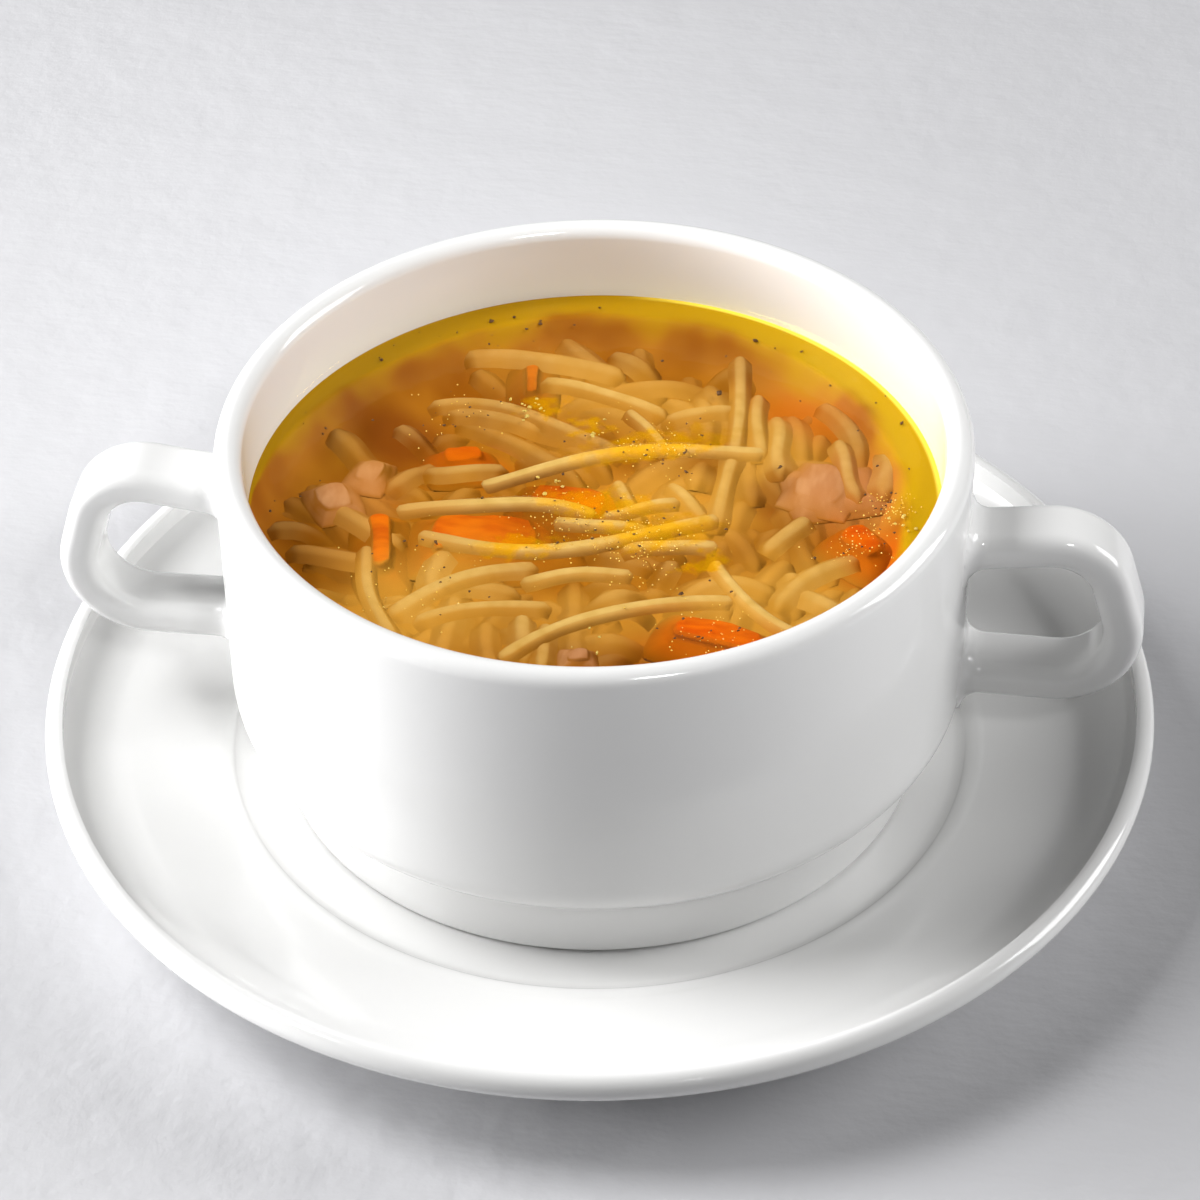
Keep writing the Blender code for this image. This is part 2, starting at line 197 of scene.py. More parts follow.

# ---------------- colours, sRGB from 0 to 255
# The second gold is painted light, for the fat lit more on the right, and the third a painted highlight, for
# the bright line of the meniscus at the right back
GOLD, GOLD_LIT, GOLD_PAINTED_HIGHLIGHT = (180, 134, 0), (190, 148, 0), (255, 226, 80)
NOODLE_DARK, NOODLE_LIGHT, NOODLE_WARM = (194, 152, 70), (224, 188, 112), (206, 160, 84)
CARROT_DARK, CARROT_LIGHT = (206, 74, 0), (236, 112, 4)
CHICKEN_DARK, CHICKEN_LIGHT = (196, 140, 96), (222, 172, 124)
OIL, BUBBLE_DARK, BUBBLE_LIGHT = (236, 184, 6), (216, 160, 30), (255, 226, 120)
HERB, FAT_CRUMB = (104, 66, 16), (236, 204, 96)
OIL_STAIN = (1.0, 0.80, 0.16, 1.0)  # what a pool of fat lets through, linear
GLOSS_TINT = (1.0, 0.84, 0.3, 1)  # of light mirrored by the greasy surface, linear
PORCELAIN_DARK, PORCELAIN_LIGHT = (0.755, 0.755, 0.75, 1), (0.785, 0.783, 0.775, 1)  # linear
PLASTER_DARK, PLASTER_LIGHT = (0.53, 0.53, 0.548, 1), (0.61, 0.61, 0.628, 1)  # linear


def link(obj):
    """Puts the object into the scene."""
    bpy.context.scene.collection.objects.link(obj)
    return obj


def mesh_object(name, verts, faces, mat, smooth_angle=None):
    """A mesh object from vertex and face lists, shaded smooth, with sharp edges past smooth_angle."""
    mesh = bpy.data.meshes.new(name)
    mesh.from_pydata([tuple(v) for v in verts], [], [tuple(f) for f in faces])
    mesh.update()
    obj = link(bpy.data.objects.new(name, mesh))
    if mat:
        mesh.materials.append(mat)
    mesh.shade_smooth()
    if smooth_angle:
        mesh.set_sharp_from_angle(angle=math.radians(smooth_angle))
    return obj


def part(obj, slot, *nodes):
    """Every piece rides on the one body; slot is not used."""
    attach(obj, "root")
    if nodes:
        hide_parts(*nodes)
    return obj


def arc(centre, radii, start, end, steps):
    """Points of an elliptical arc in the (radius, z) plane, from start to end degrees."""
    turns = [math.radians(start + (end - start) * i / steps) for i in range(steps + 1)]
    return [(centre[0] + radii[0] * math.cos(a), centre[1] + radii[1] * math.sin(a)) for a in turns]


def smooth_through(points, steps):
    """A Catmull-Rom curve through (radius, z) points, without its first and last point."""
    out = []
    for i in range(1, len(points) - 2):
        p0, p1, p2, p3 = (Vector(points[k]) for k in range(i - 1, i + 3))
        for k in range(steps):
            t = k / steps
            out.append(tuple(0.5 * (2 * p1 + (p2 - p0) * t + (2 * p0 - 5 * p1 + 4 * p2 - p3) * t ** 2
                                    + (3 * p1 - p0 - 3 * p2 + p3) * t ** 3)))
    out.append(tuple(points[-2]))
    return out


def bridge(faces, low, high, count):
    """Adds the faces between two rings of vertices, each given by its first one."""
    for k in range(count):
        j = (k + 1) % count
        faces.append((low + k, high + k, high + j, low + j))


def lathe(profile, steps, z=0.0):
    """Vertices and faces of a profile turned about Z; both ends lie on the axis."""
    verts, faces, rings = [], [], []
    for radius, height in profile:
        if radius < 1e-6:
            rings.append([len(verts)])
            verts.append((0.0, 0.0, height + z))
            continue
        rings.append(list(range(len(verts), len(verts) + steps)))
        for k in range(steps):
            a = 2 * math.pi * k / steps
            verts.append((radius * math.cos(a), radius * math.sin(a), height + z))
    for low, high in zip(rings, rings[1:]):
        for k in range(steps):
            j = (k + 1) % steps
            if len(low) == 1:
                faces.append((low[0], high[k], high[j]))
            elif len(high) == 1:
                faces.append((low[k], high[0], low[j]))
            else:
                faces.append((low[k], high[k], high[j], low[j]))
    return verts, faces


def saucer_profile():
    """From the middle of the well, over the rolled rim, and back along the underside and foot ring."""
    half = SAUCER_RIM_HALF
    rim_radius, rim_z = SAUCER_RADIUS - half, SAUCER_TOP - half
    well = [(r * MM, WELL_Z) for r in (0, 12, 24, 36, 46)] + [(WELL_RADIUS - 1.0 * MM, WELL_Z)]
    ridge = [(WELL_RADIUS, WELL_Z + 0.04 * MM)] + arc(
        (WELL_RIDGE_RADIUS, WELL_Z), (2.6 * MM, WELL_RIDGE_RISE), 165.0, 75.0, 8)
    flare = arc((BREAK_RADIUS, WELL_Z + BREAK_RISE + BREAK_BEND), (BREAK_BEND, BREAK_BEND), -96.0, -52.0, 10)
    rim = arc((rim_radius, rim_z), (half, half), 112.0, -70.0, 18)
    rise = smooth_through([flare[-2], flare[-1], rim[0], rim[1]], 5)[1:-1]
    under = smooth_through([rim[-2], rim[-1], (73.5 * MM, 9.2 * MM), (66.0 * MM, 6.2 * MM),
                            (56.0 * MM, 4.3 * MM), (48.0 * MM, 3.6 * MM), (44.0 * MM, 3.4 * MM)], 5)[1:]
    foot_outer = SAUCER_FOOT_RADIUS + SAUCER_FOOT_WIDTH / 2
    foot_inner = SAUCER_FOOT_RADIUS - SAUCER_FOOT_WIDTH / 2
    edge = 0.6 * MM
    foot = (arc((foot_outer - edge, edge), (edge, edge), 0.0, -90.0, 5)
            + arc((foot_inner + edge, edge), (edge, edge), -90.0, -180.0, 5)
            + [(foot_inner, 2.6 * MM), (foot_inner - 0.7 * MM, SAUCER_FOOT_HEIGHT)])
    middle = [(r * MM, SAUCER_FOOT_HEIGHT + 0.2 * MM) for r in (38, 24, 12, 0)]
    return well + ridge + flare + rise + rim + under + foot + middle


def cup_profile():
    """Along the inner floor, up the inside, over the lip, down the outer side and under the foot."""
    low_wall = CUP_RADIUS - WALL - INNER_TAPER
    floor = [(r * MM, INNER_FLOOR_Z) for r in (0, 12, 24)]
    corner = arc((low_wall - INNER_CORNER, INNER_FLOOR_Z + INNER_CORNER), (INNER_CORNER, INNER_CORNER),
                 -90, 0, 12)
    lip_z = CUP_HEIGHT - LIP_HALF
    inside = [(low_wall + INNER_TAPER * t, corner[-1][1] + (lip_z - corner[-1][1]) * t)
              for t in (0.2, 0.4, 0.6, 0.75, 0.88, 0.97)]
    lip = arc((CUP_RADIUS - LIP_HALF, lip_z), (LIP_HALF, LIP_HALF), 180, 0, 24)
    outside = [(CUP_RADIUS, lip_z + (SHOULDER_Z - lip_z) * t) for t in (0.04, 0.2, 0.4, 0.6, 0.8, 0.96)]
    shoulder = arc((SHOULDER_FOOT_RADIUS, SHOULDER_Z),
                   (CUP_RADIUS - SHOULDER_FOOT_RADIUS, SHOULDER_Z - FOOT_HEIGHT), 0, -82, 14)
    step_radius = SHOULDER_FOOT_RADIUS - FOOT_STEP
    groove = [(SHOULDER_FOOT_RADIUS + 0.12 * MM, FOOT_HEIGHT - 0.08 * MM),
              (step_radius + 0.14 * MM, FOOT_HEIGHT - 0.20 * MM), (step_radius, FOOT_HEIGHT - 0.45 * MM)]
    foot_inner = FOOT_BASE_RADIUS - FOOT_WIDTH
    band = [(step_radius + (FOOT_BASE_RADIUS + 0.25 * MM - step_radius) * t,
             FOOT_HEIGHT * (1 - t) + 1.1 * MM * t) for t in (0.15, 0.4, 0.65, 0.85, 1.0)]
    base = (arc((FOOT_BASE_RADIUS - 0.8 * MM, 0.8 * MM), (0.95 * MM, 0.8 * MM), -20, -90, 5)
            + arc((foot_inner + 0.8 * MM, 0.8 * MM), (0.8 * MM, 0.8 * MM), -90, -180, 5)
            + [(foot_inner - 0.5 * MM, UNDERSIDE_Z - 1.2 * MM), (foot_inner - 2.0 * MM, UNDERSIDE_Z)])
    middle = [(r * MM, UNDERSIDE_Z) for r in (30, 15, 0)]
    return floor + corner[1:] + inside + lip + outside + shoulder + groove + band + base + middle


def rounded_path(points, bends, steps):
    """A path through the points with each inner corner rounded to its bend radius."""
    path = [points[0]]
    for i, bend in enumerate(bends, start=1):
        corner = points[i]
        back = (points[i - 1] - corner).normalized()
        ahead = (points[i + 1] - corner).normalized()
        half = back.angle(ahead) / 2
        centre = corner + (back + ahead).normalized() * bend / math.sin(half)
        first = (corner + back * bend / math.tan(half) - centre).normalized()
        last = (corner + ahead * bend / math.tan(half) - centre).normalized()
        path += [centre + first.slerp(last, k / steps) * bend for k in range(steps + 1)]
    path.append(points[-1])
    return path


def strap_mesh():
    """One handle at +X: a rounded strap whose surface runs into the wall in a fillet."""
    root = CUP_RADIUS - LIP_HALF * 0.8
    heel_x = HANDLE_REACH + 0.45 * MM
    corners = [Vector((root, 0, STRAP_TOP_Z)), Vector((heel_x - STRAP_CREST_BACK, 0, STRAP_CREST_Z)),
               Vector((heel_x, 0, STRAP_HEEL_Z)), Vector((root, 0, STRAP_BOTTOM_Z))]
    bare = rounded_path(corners, (STRAP_CREST_BEND, STRAP_HEEL_BEND), 16)
    near = (0.0, 0.06, 0.1, 0.13, 0.16, 0.2, 0.25, 0.31, 0.38, 0.48, 0.6, 0.8)
    path = ([bare[0].lerp(bare[1], t) for t in near] + bare[1:-1]
            + [bare[-1].lerp(bare[-2], t) for t in near[::-1]])
    half_w, half_t = STRAP_WIDTH / 2 - STRAP_EDGE, STRAP_THICKNESS / 2 - STRAP_EDGE
    section = []
    for across, along, start in ((half_w, half_t, 0), (-half_w, half_t, 90), (-half_w, -half_t, 180),
                                 (half_w, -half_t, 270)):
        for k in range(9):
            a = math.radians(start + 90 * k / 8)
            section.append((across, along, math.cos(a), math.sin(a)))
    verts, faces = [], []
    for i, point in enumerate(path):
        ahead = (path[min(i + 1, len(path) - 1)] - path[max(i - 1, 0)]).normalized()
        side = Vector((0, 1, 0))
        up = ahead.cross(side)
        for across, along, ca, sa in section:
            place = point + side * (across + STRAP_EDGE * ca) + up * (along + STRAP_EDGE * sa)
            away = side * ca + up * sa
            grow = 0.0
            for _ in range(3):
                grown = place + away * grow
                gap = max(0.0, math.hypot(grown.x, grown.y) - CUP_RADIUS)
                lack = max(0.0, STRAP_FILLET - gap)
                grow = STRAP_FILLET - math.sqrt(STRAP_FILLET ** 2 - lack ** 2)
            grown = place + away * grow
            verts.append((grown.x, grown.y, grown.z + CUP_FOOT))
    n = len(section)
    for i in range(len(path) - 1):
        for k in range(n):
            j = (k + 1) % n
            faces.append((i * n + k, i * n + j, (i + 1) * n + j, (i + 1) * n + k))
    faces.append(tuple(range(n))[::-1])
    faces.append(tuple(range((len(path) - 1) * n, len(path) * n)))
    return verts, faces


def make_porcelain(mat):
    """The saucer, and the cup with both handles joined to it."""
    saucer = mesh_object("saucer_glazed", *lathe(saucer_profile(), TURN_STEPS), mat, 50)
    flip_if_inside_out(saucer)
    part(saucer, "porcelain", "saucer")
    cup = mesh_object("cup_glazed", *lathe(cup_profile(), TURN_STEPS, CUP_FOOT), mat)
    flip_if_inside_out(cup)
    verts, faces = strap_mesh()
    for side in (1, -1):
        strap = mesh_object("strap", [(side * x, side * y, z) for x, y, z in verts], faces, mat)
        flip_if_inside_out(strap)
        joined = cup.modifiers.new("handle", "BOOLEAN")
        joined.operation = "UNION"
        joined.solver = "EXACT"
        joined.object = strap
        apply_modifiers(cup)
        bpy.data.objects.remove(strap)
    cup.data.shade_smooth()
    cup.data.set_sharp_from_angle(angle=math.radians(50))
    part(cup, "porcelain", "cup")


def flip_if_inside_out(obj):
    """Makes all faces agree and look outward."""
    bm = bmesh.new()
    bm.from_mesh(obj.data)
    bmesh.ops.recalc_face_normals(bm, faces=bm.faces)
    if bm.calc_volume(signed=True) < 0:
        bmesh.ops.reverse_faces(bm, faces=bm.faces)
    bm.to_mesh(obj.data)
    bm.free()


def apply_modifiers(obj):
    """Bakes the object's modifiers into its mesh."""
    evaluated = obj.evaluated_get(bpy.context.evaluated_depsgraph_get())
    mesh = bpy.data.meshes.new_from_object(evaluated)
    obj.modifiers.clear()
    obj.data = mesh


# ---------------- nodes
class Nodes:
    """Short calls for building a material's node tree."""

    def __init__(self, name):
        self.mat = bpy.data.materials.new(name)
        self.mat.use_nodes = True
        self.tree = self.mat.node_tree
        self.shader = self.tree.nodes["Principled BSDF"]
        self.output = self.tree.nodes["Material Output"]

    def add(self, kind, inputs=(), **settings):
        node = self.tree.nodes.new("ShaderNode" + kind)
        for key, value in settings.items():
            setattr(node, key, value)
        for key, value in dict(inputs).items():
            self.feed(node.inputs[key], value)
        return node

    def finish(self, inputs):
        """Feeds the material's own shader."""
        for key, value in inputs.items():
            self.feed(self.shader.inputs[key], value)

    def feed(self, socket, value):
        if isinstance(value, bpy.types.NodeSocket):
            self.tree.links.new(value, socket)
        else:
            socket.default_value = value

    def place(self):
        return self.add("TexCoord").outputs["Object"]

    def math(self, operation, *values):
        return self.add("Math", dict(enumerate(values)), operation=operation).outputs[0]

    def noise(self, scale, detail, roughness=0.55, vector=None):
        inputs = {"Scale": scale, "Detail": detail, "Roughness": roughness, "Vector": vector or self.place()}
        return self.add("TexNoise", inputs).outputs["Fac"]

    def spot(self, place, middle, reach, turn):
        """Distance from an ellipse's middle on the soup, 1 at its edge; all lengths in millimetres."""
        inputs = {"Vector": place, "Location": (middle[0] * MM, middle[1] * MM, SOUP_Z),
                  "Rotation": (0, 0, math.radians(turn)), "Scale": (reach[0] * MM, reach[1] * MM, 1.0)}
        node = self.add("Mapping", inputs, vector_type="TEXTURE")
        return self.add("VectorMath", {0: node.outputs[0]}, operation="LENGTH").outputs["Value"]

    def ramp(self, value, low, high):
        """value mapped from low..high to 0..1 with soft ends."""
        node = self.add("MapRange", {"Value": value, "From Min": low, "From Max": high},
                        interpolation_type="SMOOTHSTEP")
        return node.outputs[0]

    def mix(self, factor, a, b):
        node = self.add("Mix", data_type="RGBA")
        self.feed(node.inputs[0], factor)
        self.feed(node.inputs[6], a)
        self.feed(node.inputs[7], b)
        return node.outputs[2]

    def bump(self, height, strength, distance):
        node = self.add("Bump", {"Height": height, "Strength": strength, "Distance": distance})
        return node.outputs["Normal"]


def colour(red, green, blue):
    """An sRGB colour, 0 to 255, as linear RGBA."""
    def linear(c):
        c /= 255
        return c / 12.92 if c <= 0.04045 else ((c + 0.055) / 1.055) ** 2.4
    return (linear(red), linear(green), linear(blue), 1.0)


def porcelain_material():
    n = Nodes("glazed_porcelain")
    tone = n.mix(n.noise(9.0, 2.0), PORCELAIN_DARK, PORCELAIN_LIGHT)
    rough = n.add("MapRange", {"Value": n.noise(60.0, 4.0), "To Min": 0.07, "To Max": 0.14})
    ripple = n.math("ADD", n.noise(45.0, 1.0), n.math("MULTIPLY", n.noise(260.0, 1.0), 0.12))
    n.finish({"Base Color": tone, "Roughness": rough.outputs[0], "IOR": 1.5,
              "Normal": n.bump(ripple, 0.25, 0.35 * MM)})
    return n.mat


def broth_tones(n):
    """The cloudy broth's colour: amber with glows of what is deep in it, golden fat along the wall painted
    lighter towards the right, and a painted highlight along the wall at the right back.
    """
    place = n.place()
    xyz = n.add("SeparateXYZ", {"Vector": place})
    x, y = xyz.outputs["X"], xyz.outputs["Y"]
    radius = n.math("SQRT", n.math("ADD", n.math("MULTIPLY", x, x), n.math("MULTIPLY", y, y)))
    cloud = n.noise(75.0, 2.0)
    inner = n.mix(n.ramp(cloud, 0.25, 0.72), colour(*AMBER), colour(*TAN))
    for middle, length, width, turn, tint, strength in GLOWS:
        glow = n.spot(place, middle, (length, width), turn)
        inner = n.mix(n.math("MULTIPLY", n.ramp(glow, 1.25, 0.35), strength), inner, colour(*tint))
    back = n.ramp(n.math("ADD", n.math("DIVIDE", y, SOUP_RADIUS), n.math("MULTIPLY", x, 8.0)), -0.7, 0.35)
    uneven = n.math("MULTIPLY", n.math("SUBTRACT", cloud, 0.5), 9.0 * MM)
    width = n.math("ADD", n.math("MULTIPLY", back, n.math("ADD", uneven, FAT_BAND)), 0.1 * MM)
    inward = n.math("SUBTRACT", SOUP_RADIUS, radius)
    fat = n.ramp(n.math("DIVIDE", inward, n.math("MAXIMUM", width, 0.2 * MM)), 1.3, 0.6)
    # Painted light: the fat is painted lighter towards the right, and a painted highlight runs as a bright
    # line along the wall at the right back, where the meniscus catches the light
    gold = n.mix(n.ramp(x, -0.02, 0.035), colour(*GOLD), colour(*GOLD_LIT))
    rim = n.math("MULTIPLY", n.ramp(inward, 1.1 * MM, 0.5 * MM), n.ramp(n.math("ADD", x, y), 0.044, 0.058))
    gold = n.mix(rim, gold, colour(*GOLD_PAINTED_HIGHLIGHT))
    return n.mix(fat, inner, gold)


def submerge(n, own_colour, own_normal):
    """Fades a submerged thing's colour and shading into the cloudy broth with its depth, its sides first."""
    z = n.add("SeparateXYZ", {"Vector": n.place()}).outputs["Z"]
    depth = n.math("MAXIMUM", n.math("SUBTRACT", SOUP_Z, z), 0.0)
    clear = n.math("EXPONENT", n.math("DIVIDE", depth, -FOG_DEPTH))
    normal = n.add("NewGeometry").outputs["Normal"]
    level_face = n.ramp(n.add("SeparateXYZ", {"Vector": normal}).outputs["Z"], 0.6, 0.95)
    shallow = n.math("MULTIPLY", n.math("EXPONENT", n.math("DIVIDE", depth, -SOFT_DEPTH)), 0.8)
    fog = n.math("SUBTRACT", 1.0, n.math("MULTIPLY", clear, n.math("MAXIMUM", level_face, shallow)))
    level = n.add("Mix", data_type="VECTOR")
    own_share = n.math("MULTIPLY", n.math("EXPONENT", n.math("DIVIDE", depth, -SOFT_DEPTH)), 0.55)
    n.feed(level.inputs[0], n.math("SUBTRACT", 0.97, own_share))
    n.feed(level.inputs[4], own_normal)
    level.inputs[5].default_value = (0.0, 0.0, 1.0)
    turned = n.add("VectorMath", {0: level.outputs[1]}, operation="NORMALIZE")
    n.finish({"Base Color": n.mix(fog, own_colour, broth_tones(n)), "Normal": turned.outputs[0],
              "Roughness": DULL_ROUGHNESS, "Specular IOR Level": DULL_GLOSS})


def noodle_material():
    n = Nodes("egg_noodle")
    tone = n.mix(n.noise(420.0, 1.0), colour(*NOODLE_DARK), colour(*NOODLE_LIGHT))
    tone = n.mix(n.ramp(n.noise(28.0, 1.0), 0.42, 0.62), tone, colour(*NOODLE_WARM))
    submerge(n, tone, n.bump(n.noise(900.0, 1.0), 0.2, 0.12 * MM))
    return n.mat


def fibrous_material(name, stretch, fibres, dark, light, grain, strength, relief):
    """Carrot or chicken: noise drawn out into fibres along one axis, as colour and as a fine relief."""
    n = Nodes(name)
    drawn = n.add("Mapping", {"Vector": n.place(), "Scale": stretch}).outputs[0]
    tone = n.mix(n.ramp(n.noise(fibres, 2.0, vector=drawn), 0.35, 0.7), colour(*dark), colour(*light))
    submerge(n, tone, n.bump(n.noise(grain, 2.0, vector=drawn), strength, relief))
    return n.mat


def broth_material():
    n = Nodes("cloudy_broth")
    n.finish({"Base Color": broth_tones(n), "Roughness": 0.6, "Specular IOR Level": DULL_GLOSS})
    return n.mat


def surface_material():
    """The clear top of the soup: a wet gloss, with yellow fat lying on it in pools."""
    n = Nodes("soup_surface")
    n.tree.nodes.remove(n.shader)
    place = n.place()
    ragged = n.add("TexNoise", {"Vector": place, "Scale": 420.0, "Detail": 2.0}).outputs["Color"]
    shift = n.add("VectorMath", {0: ragged, 1: (0.5, 0.5, 0.5)}, operation="SUBTRACT").outputs[0]
    shift = n.add("VectorMath", {0: shift, "Scale": 9.0 * MM}, operation="SCALE").outputs[0]
    torn = n.add("VectorMath", {0: place, 1: shift}, operation="ADD").outputs[0]
    cover = 0.0
    for middle, reach, turn in FAT_POOLS:
        cover = n.math("MAXIMUM", cover, n.ramp(n.spot(torn, middle, reach, turn), 1.3, 0.3))
    stain = n.mix(cover, (1.0, 1.0, 1.0, 1.0), OIL_STAIN)
    clear = n.add("BsdfTransparent", {"Color": stain})
    oil = n.add("BsdfPrincipled", {"Base Color": colour(*OIL), "Roughness": 0.15, "IOR": 1.47})
    oily = n.add("MixShader", {0: n.math("MULTIPLY", cover, FAT_COVER)})
    n.feed(oily.inputs[1], clear.outputs[0])
    n.feed(oily.inputs[2], oil.outputs[0])
    ripple = n.bump(n.noise(160.0, 1.0), 0.3, 0.4 * MM)
    gloss = n.add("BsdfGlossy", {"Color": GLOSS_TINT, "Roughness": 0.05, "Normal": ripple})
    # Schlick's rule from the facing angle, which lets light through from below at any angle
    facing = n.add("LayerWeight", {"Blend": 0.5, "Normal": ripple}).outputs["Facing"]
    mirror = n.math("ADD", WATER_GLOSS, n.math("MULTIPLY", n.math("POWER", facing, 5.0), EDGE_GLOSS))
    wet = n.add("MixShader", {0: mirror})
    n.feed(wet.inputs[1], oily.outputs[0])
    n.feed(wet.inputs[2], gloss.outputs[0])
    n.feed(n.output.inputs["Surface"], wet.outputs[0])
    return n.mat


def bubble_material():
    n = Nodes("bubble")
    tone = n.mix(n.noise(160.0, 1.0), colour(*BUBBLE_DARK), colour(*BUBBLE_LIGHT))
    n.finish({"Base Color": tone, "Roughness": 0.04, "IOR": 1.6})
    return n.mat


def plain_material(name, tint, roughness):
    """One colour, mottled with a darker tone of its own."""
    n = Nodes(name)
    tone = n.mix(n.noise(900.0, 2.0), tint, tuple(c * 0.55 for c in tint[:3]) + (1.0,))
    n.finish({"Base Color": tone, "Roughness": roughness})
    return n.mat


def floor_material():
    """Pale trowelled plaster."""
    n = Nodes("pale_plaster")
    tone = n.mix(n.noise(7.0, 5.0, 0.6), PLASTER_DARK, PLASTER_LIGHT)
    trowel = n.add("Mapping", {"Vector": n.place(), "Scale": (0.35, 1.2, 1.0),
                               "Rotation": (0, 0, math.radians(24))}).outputs[0]
    fine = n.math("MULTIPLY", n.noise(140.0, 4.0), 0.25)
    relief = n.math("ADD", n.noise(16.0, 6.0, 0.6, vector=trowel), fine)
    n.finish({"Base Color": tone, "Roughness": 0.55, "Normal": n.bump(relief, 0.35, 3.0 * MM)})
    return n.mat


# ---------------- soup pieces
class Heap:
    """Remembers how deep the space under the noodles already laid begins, on a fine grid."""

    CELL = 0.35 * MM

    def __init__(self):
        self.count = int(2 * SOUP_RADIUS / self.CELL) + 2
        self.free = np.full((self.count, self.count), 1.0)
        self.tops = np.zeros((self.count, self.count))

    def cells(self, x, y, reach):
        i = int((x + SOUP_RADIUS) / self.CELL)
        j = int((y + SOUP_RADIUS) / self.CELL)
        k = int(reach / self.CELL) + 1
        lo_i, hi_i = max(0, i - k), min(self.count, i + k + 1)
        lo_j, hi_j = max(0, j - k), min(self.count, j + k + 1)
        gx = (np.arange(lo_i, hi_i) + 0.5) * self.CELL - SOUP_RADIUS - x
        gy = (np.arange(lo_j, hi_j) + 0.5) * self.CELL - SOUP_RADIUS - y
        return (slice(lo_i, hi_i), slice(lo_j, hi_j)), np.hypot(gx[:, None], gy[None, :])

    def under(self, x, y, radius):
        """The highest a noodle's middle may lie here."""
        where, distance = self.cells(x, y, radius)
        inside = distance < radius
        drop = np.sqrt(np.maximum(radius ** 2 - distance ** 2, 0.0)) * FLATNESS
        room = self.free[where] - drop
        return float(room[inside].min()) if inside.any() else 1.0

    def fill(self, x, y, z, radius):
        where, distance = self.cells(x, y, radius)
        reach = np.sqrt(np.maximum(radius ** 2 - distance ** 2, 0.0)) * FLATNESS
        self.free[where] = np.minimum(self.free[where], np.where(distance < radius, z - reach, 1.0))
        top = np.where(distance < radius, z + reach - SOUP_Z + WET_FILM, 0.0)
        self.tops[where] = np.maximum(self.tops[where], top)

    def block(self, obj):
        """Marks the space of a chunk of carrot or chicken as taken."""
        for vert in obj.data.vertices:
            i, j = (int((c + SOUP_RADIUS) / self.CELL) for c in vert.co[:2])
            self.free[i, j] = min(self.free[i, j], vert.co.z)
            self.tops[i, j] = max(self.tops[i, j], vert.co.z - SOUP_Z + WET_FILM)

    def soften(self):
        """Rounds the wet skin where it is drawn over things."""
        for _ in range(3):
            t = np.pad(self.tops, 1, mode="edge")
            around = (t[:-2, 1:-1] + t[2:, 1:-1] + t[1:-1, :-2] + t[1:-1, 2:]) / 4
            self.tops = np.maximum(self.tops, 0.5 * self.tops + 0.5 * around)

    def rise(self, x, y):
        """How far the wet skin stands above the level surface."""
        u = min(max((x + SOUP_RADIUS) / self.CELL - 0.5, 0.0), self.count - 1.001)
        v = min(max((y + SOUP_RADIUS) / self.CELL - 0.5, 0.0), self.count - 1.001)
        i, j = int(u), int(v)
        fu, fv = u - i, v - j
        t = self.tops
        return ((t[i, j] * (1 - fu) + t[i + 1, j] * fu) * (1 - fv)
                + (t[i, j + 1] * (1 - fu) + t[i + 1, j + 1] * fu) * fv)


def strand_route(rng, middle, heading, length, bend, segments):
    """Points of one noodle seen from above: an arc with a slight random wave."""
    wave, phase = rng.uniform(-9, 9), rng.uniform(0, 2 * math.pi)
    turns = [heading + bend * (i / segments - 0.5) + wave * math.sin(2 * math.pi * i / segments + phase)
             for i in range(segments)]
    points = [Vector((0.0, 0.0))]
    for turn in turns:
        a = math.radians(turn)
        points.append(points[-1] + Vector((math.cos(a), math.sin(a))) * length / segments)
    shift = Vector(middle) - points[segments // 2]
    return [p + shift for p in points]


def lay_strand(heap, route, top_depth, sag, radius):
    """Heights for a noodle's points: just under the surface, and under whatever was laid before."""
    count = len(route)
    heights = []
    for i, (x, y) in enumerate(route):
        t = 2 * i / (count - 1) - 1
        nominal = SOUP_Z - top_depth - radius * FLATNESS - sag * t * t
        heights.append(min(nominal, heap.under(x, y, radius * 1.02)))
    heights = np.array(heights)
    for _ in range(6):
        around = np.convolve(np.pad(heights, 1, mode="edge"), (0.3, 0.4, 0.3), mode="valid")
        heights = np.minimum(heights, around)
    for (x, y), z in zip(route, heights):
        heap.fill(x, y, z, radius)
    return heights


# Half of a noodle's section from its foot to its top, as shares of half its width and thickness
CRISP_FLANK = np.array(((1.22, -1.0), (1.06, -0.35), (0.84, 0.4), (0.52, 0.85), (0.0, 1.0)))
SPREAD_FLANK = np.array(((2.2, -1.0), (1.6, -0.35), (1.05, 0.3), (0.6, 0.8), (0.0, 1.0)))
STRAND_TIP = [0.72, 0.94]  # size of a noodle's last two sections


def sweep_strand(verts, faces, points, width, thickness):
    """Adds one noodle: a low ribbon with square-cut ends, whose flanks run out softly where it lies deep."""
    sides = 2 * len(CRISP_FLANK) - 1
    start = len(verts)
    scales = STRAND_TIP + [1.0] * (len(points) - 4) + STRAND_TIP[::-1]
    for i, point in enumerate(points):
        ahead = (points[min(i + 1, len(points) - 1)] - points[max(i - 1, 0)]).normalized()
        side = ahead.cross(Vector((0, 0, 1))).normalized()
        up = side.cross(ahead)
        swell = scales[i] * (1 + 0.07 * noise.noise(point * 260))
        flank = CRISP_FLANK + (SPREAD_FLANK - CRISP_FLANK) * buried(point)
        for across, rise in [*flank] + [(-across, rise) for across, rise in flank[-2::-1]]:
            verts.append(point + (side * across * width + up * rise * thickness) * 0.5 * swell)
    for i in range(len(points) - 1):
        bridge(faces, start + i * sides, start + (i + 1) * sides, sides)
    faces.append(tuple(start + k for k in range(sides)))
    faces.append(tuple(len(verts) - sides + k for k in range(sides))[::-1])


def buried(point):
    """0 for a noodle at the surface, 1 where it lies SPREAD_DEPTH or more below."""
    return min(1.0, max(0.0, (SOUP_Z - point.z - NOODLE_THICKNESS / 2) / SPREAD_DEPTH))


